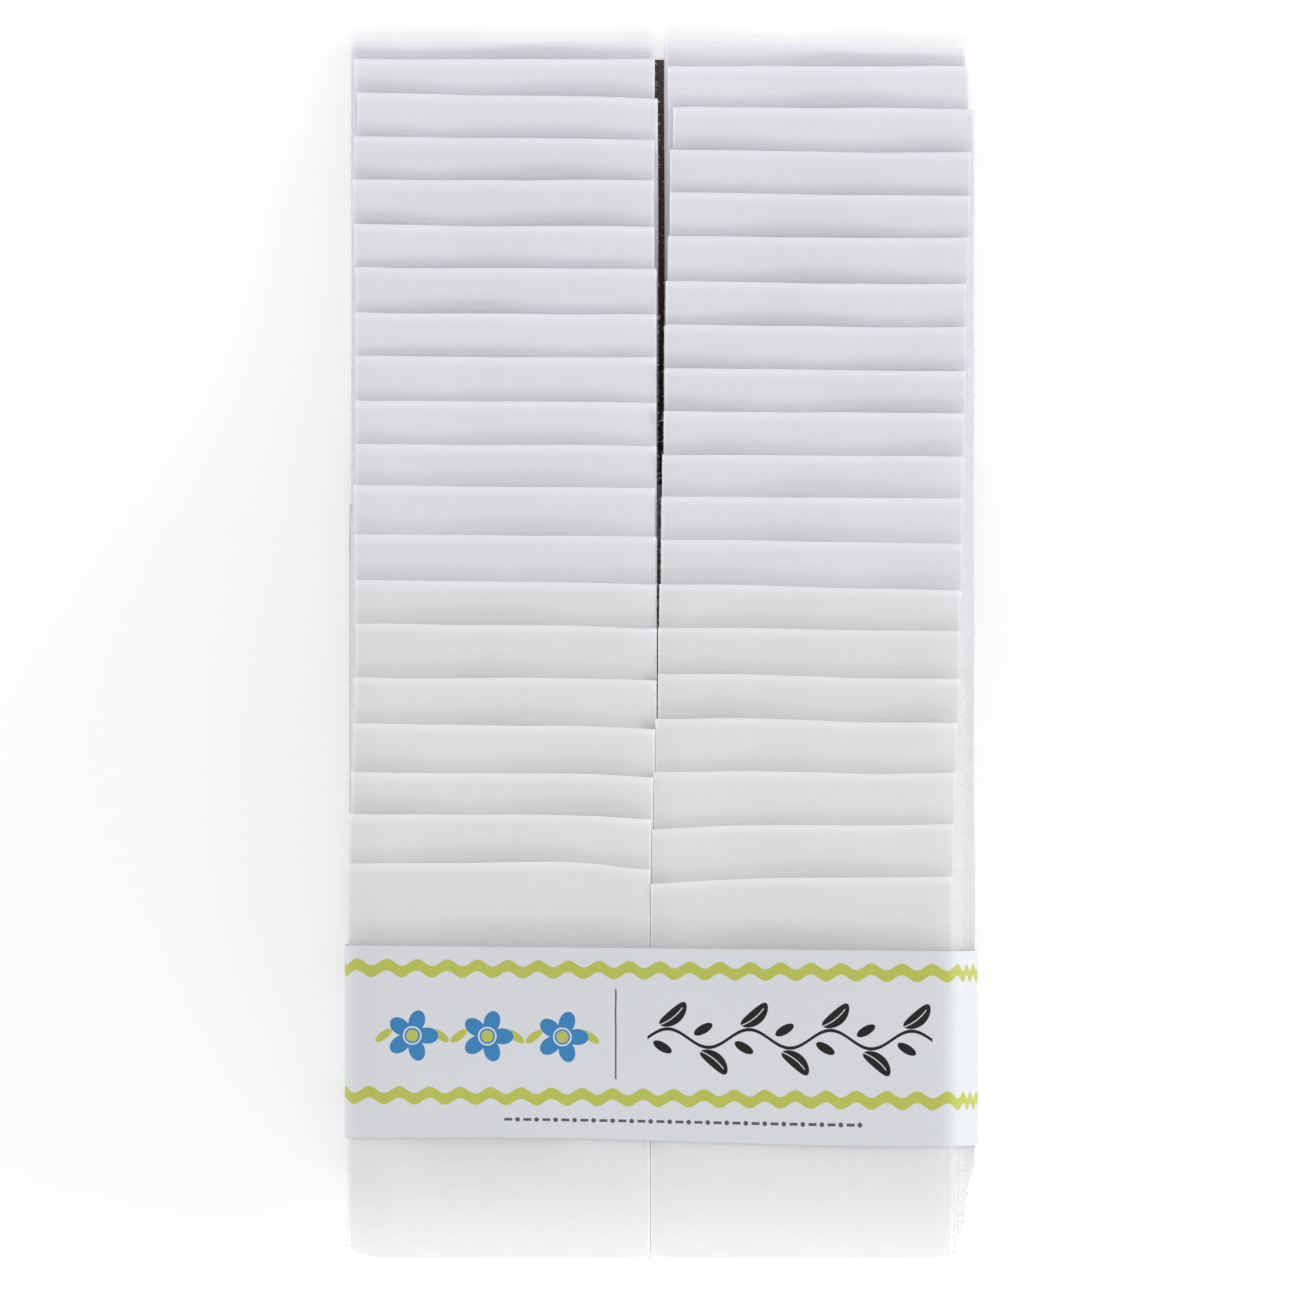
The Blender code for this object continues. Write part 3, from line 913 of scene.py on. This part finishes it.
def threadTree(material):
    look = threadLook
    tree = bpy.data.node_groups.new("loose threads", "GeometryNodeTree")
    face = tree.interface
    face.new_socket("Geometry", in_out="INPUT", socket_type="NodeSocketGeometry")
    for name in ("Spacing", "Length", "Thickness"):
        face.new_socket(name, in_out="INPUT", socket_type="NodeSocketFloat")
    face.new_socket("Seed", in_out="INPUT", socket_type="NodeSocketInt")
    face.new_socket("Geometry", in_out="OUTPUT", socket_type="NodeSocketGeometry")
    maker = NodeMaker(tree)
    given = tree.nodes.new("NodeGroupInput")
    spacing, length, thickness, seed = (Wire(maker, given.outputs[i]) for i in range(1, 5))
    source = Wire(maker, given.outputs[0])
    curve = maker.add("GeometryNodeMeshToCurve", None, {0: source})
    spots = maker.add("GeometryNodeCurveToPoints", {"mode": "LENGTH"},
                      {"Curve": curve, "Length": spacing})
    shake = maker.add("FunctionNodeRandomValue", {"data_type": "FLOAT_VECTOR"},
                      {0: tuple(-k for k in look["spread"]), 1: look["spread"], "Seed": seed})
    spots = maker.add("GeometryNodeSetPosition", None, {"Geometry": spots, "Offset": shake})
    line = maker.add("GeometryNodeCurvePrimitiveLine", None, {"Start": (0, 0, -0.0002), "End": (0, 0, 1)})
    line = maker.add("GeometryNodeResampleCurve", None, {"Curve": line, "Count": 4})
    place = maker.add("GeometryNodeInputPosition")
    z = maker.add("ShaderNodeSeparateXYZ", None, {0: place}, output=2)
    curl = maker.add("ShaderNodeCombineXYZ", None, {0: z * z * look["curl"][0], 1: z * z * look["curl"][1]})
    line = maker.add("GeometryNodeSetPosition", None, {"Geometry": line, "Offset": curl})
    ring = maker.add("GeometryNodeCurvePrimitiveCircle", None, {"Resolution": 3, "Radius": 1.0})
    ring = maker.add("GeometryNodeTransform", None,
                     {"Geometry": ring, "Scale": (look["ring"],) * 3})
    fibre = maker.add("GeometryNodeCurveToMesh", None,
                      {"Curve": line, "Profile Curve": ring, "Fill Caps": True})
    outward = maker.add("GeometryNodeInputNamedAttribute", {"data_type": "FLOAT_VECTOR"},
                        {"Name": "outward"})
    stray = maker.add("FunctionNodeRandomValue", {"data_type": "FLOAT_VECTOR"},
                      {0: tuple(-k for k in look["aim"]), 1: look["aim"], "Seed": seed + 3})
    aim = maker.add("ShaderNodeVectorMath", {"operation": "ADD"}, {0: outward, 1: stray})
    turned = maker.add("FunctionNodeAlignRotationToVector", {"axis": "Z"}, {"Vector": aim})
    size = maker.add("FunctionNodeRandomValue", {"data_type": "FLOAT"},
                     {2: look["lengths"][0], 3: look["lengths"][1], "Seed": seed + 5}, output=1)
    wide = thickness / look["ring"]
    scale = maker.add("ShaderNodeCombineXYZ", None, {0: wide, 1: wide, 2: length * size})
    placed = maker.add("GeometryNodeInstanceOnPoints", None,
                       {"Points": spots, "Instance": fibre, "Rotation": turned, "Scale": scale})
    real = maker.add("GeometryNodeRealizeInstances", None, {0: placed})
    done = maker.add("GeometryNodeSetMaterial", None, {"Geometry": real, "Material": material})
    sink = tree.nodes.new("NodeGroupOutput")
    tree.links.new(done.socket, sink.inputs[0])
    return tree


def makeThreads(word, side, grids, tree):
    # the cut edges of the outermost ply of each strip, as lines that the threads stand on
    points = []
    edges = []
    outward = []
    for grid in grids[side]:
        for column, way in ((0, -1.0), (-1, 1.0)):
            line = grid[:, 0, column, :]
            heights = int(len(line) * threadLook["outerShare"])
            start = len(points)
            points += line[:heights].tolist()
            outward += [(way, 0.0, 0.0)] * heights
            edges += [(start + i, start + i + 1) for i in range(heights - 1)]
    data = bpy.data.meshes.new(f"edge_lines_{word}")
    data.from_pydata((np.array(points) * mm).tolist(), edges, [])
    data.attributes.new("outward", "FLOAT_VECTOR", "POINT").data.foreach_set(
        "vector", np.array(outward).ravel())
    source = bpy.data.objects.new(f"edge_lines_{word}", data)
    bpy.context.scene.collection.objects.link(source)
    modifier = source.modifiers.new("threads", "NODES")
    modifier.node_group = tree
    wanted = {
        "Spacing": threadLook["spacing"] * mm,
        "Length": threadLook["length"] * mm,
        "Thickness": threadLook["thickness"] * mm,
        "Seed": threadLook["seeds"][side],
    }
    for item in tree.interface.items_tree:
        if item.in_out == "INPUT" and item.name in wanted:
            modifier[item.identifier] = wanted[item.name]
    graph = bpy.context.evaluated_depsgraph_get()
    mesh = bpy.data.meshes.new_from_object(source.evaluated_get(graph))
    mesh.name = f"threads_{word}"
    thing = bpy.data.objects.new(f"threads_{word}", mesh)
    bpy.context.scene.collection.objects.link(thing)
    bpy.data.objects.remove(source)
    print(f"{word} threads: {len(mesh.polygons)} faces")
    return thing


def makeThreadCotton():
    material, maker, shader = newMaterial("loose thread cotton")
    place = maker.add("ShaderNodeTexCoord", output=3)
    noise = maker.add("ShaderNodeTexNoise", None, {"Vector": place, "Scale": 900.0})
    colour = blendColour(maker, noise, (0.74, 0.74, 0.735, 1), (0.84, 0.84, 0.83, 1))
    maker.feed(shader.inputs["Base Color"], colour)
    maker.feed(shader.inputs["Roughness"], 0.8 + noise * 0.15)
    shader.inputs["Specular IOR Level"].default_value = 0.15
    return material


# camera, ground and lights

studio = {
    "imageSide": 1300,
    "pixelsPerMm": 4.74,
    "aim": (-2.39, -0.33),
    "scaleHeight": 20.0,
    "distance": 8000.0,
    "sensor": 36.0,
    "zenith": 0.57,  # a light tent is brighter at its sides than overhead
    "horizon": 1.3,
    "floorGlow": 0.16,
    "shadeSheetTop": 0.1245,  # painted shade: a dark brown sheet under the slit between the stacks, darkening the slit
    "shadeSheetFoot": -0.12,
    "shadeSheetWidth": 0.03,
    "shadeSheetAt": -0.0015,
}


def areaLight(name, place, size, power):
    data = bpy.data.lights.new(name, "AREA")
    data.shape = "RECTANGLE"
    data.size, data.size_y = size
    data.energy = power
    thing = bpy.data.objects.new(name, data)
    bpy.context.scene.collection.objects.link(thing)
    thing.location = place
    thing.rotation_mode = "QUATERNION"
    thing.rotation_quaternion = (-thing.location).to_track_quat("-Z", "Y")
    thing.visible_camera = False
    return thing


def makeStudio():
    scene = bpy.context.scene
    camera = bpy.data.cameras.new("camera")
    camera.sensor_width = studio["sensor"]
    field = studio["imageSide"] / studio["pixelsPerMm"]
    camera.lens = studio["sensor"] * (studio["distance"] - studio["scaleHeight"]) / field
    camera.clip_start = 0.1
    camera.clip_end = 50
    eye = bpy.data.objects.new("camera", camera)
    scene.collection.objects.link(eye)
    eye.location = (studio["aim"][0] * mm, studio["aim"][1] * mm, studio["distance"] * mm)
    scene.camera = eye

    bpy.ops.mesh.primitive_plane_add(size=8)
    floor = bpy.context.object
    floor.name = "floor"
    material, maker, shader = newMaterial("pale floor")
    shader.inputs["Base Color"].default_value = (0.9, 0.9, 0.9, 1)
    shader.inputs["Roughness"].default_value = 0.9
    shader.inputs["Emission Color"].default_value = (1, 1, 1, 1)
    shader.inputs["Emission Strength"].default_value = studio["floorGlow"]
    floor.data.materials.append(material)
    floor.location.z = -0.0002

    # painted shade: a dark sheet laid on the floor only under the slit, to darken the deep slit between the
    # stacks
    bpy.ops.mesh.primitive_plane_add(size=1)
    shadeSheet = bpy.context.object
    shadeSheet.name = "shadeSheet"
    shadeSheet.scale = (studio["shadeSheetWidth"], studio["shadeSheetTop"] - studio["shadeSheetFoot"], 1)
    shadeSheet.location = (studio["shadeSheetAt"], (studio["shadeSheetTop"] + studio["shadeSheetFoot"]) / 2, -0.0001)
    material, maker, shader = newMaterial("painted slit shade")
    shader.inputs["Base Color"].default_value = (0.085, 0.055, 0.042, 1)
    shader.inputs["Roughness"].default_value = 0.85
    shadeSheet.data.materials.append(material)

    world = bpy.data.worlds.new("studio")
    world.use_nodes = True
    maker = NodeMaker(world.node_tree)
    way = maker.add("ShaderNodeTexCoord", output=0)
    height = maker.add("ShaderNodeSeparateXYZ", None, {0: way}, output=2).do("MAXIMUM", 0)
    low = (1 - height) * (1 - height)
    glow = low * (studio["horizon"] - studio["zenith"]) + studio["zenith"]
    maker.feed(world.node_tree.nodes["Background"].inputs[1], glow)
    world.node_tree.nodes["Background"].inputs[0].default_value = (1, 1, 1, 1)
    scene.world = world
    scene.view_settings.view_transform = "Standard"

    areaLight("front key", (0, -1.25, 0.85), (1.6, 0.5), 6.0)
    areaLight("back rim", (0, 1.4, 0.5), (1.6, 0.4), 2.6)
    areaLight("right rim", (1.4, 0, 0.45), (1.0, 0.4), 7)
    areaLight("low front", (0, -1.4, 0.12), (1.6, 0.2), 0.9)
    areaLight("left rim", (-1.4, 0, 0.45), (1.0, 0.4), 2.5)


makeStudio()
strips, edgeGrids, cotton = makeStrips()
band = makeBand(edgeGrids)
tree = threadTree(makeThreadCotton())
threads = {
    word: makeThreads(word, side, edgeGrids, tree) for side, word in enumerate(("left", "right"))
}

for thing, node, word, number in strips:
    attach(thing, "root")
    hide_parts(node)
    under = f"cloth_{word}_{number + 1:02d}" if number < len(leftFolds) else "band"
for thing in threads.values():
    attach(thing, "root")
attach(band, "root")
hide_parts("band")
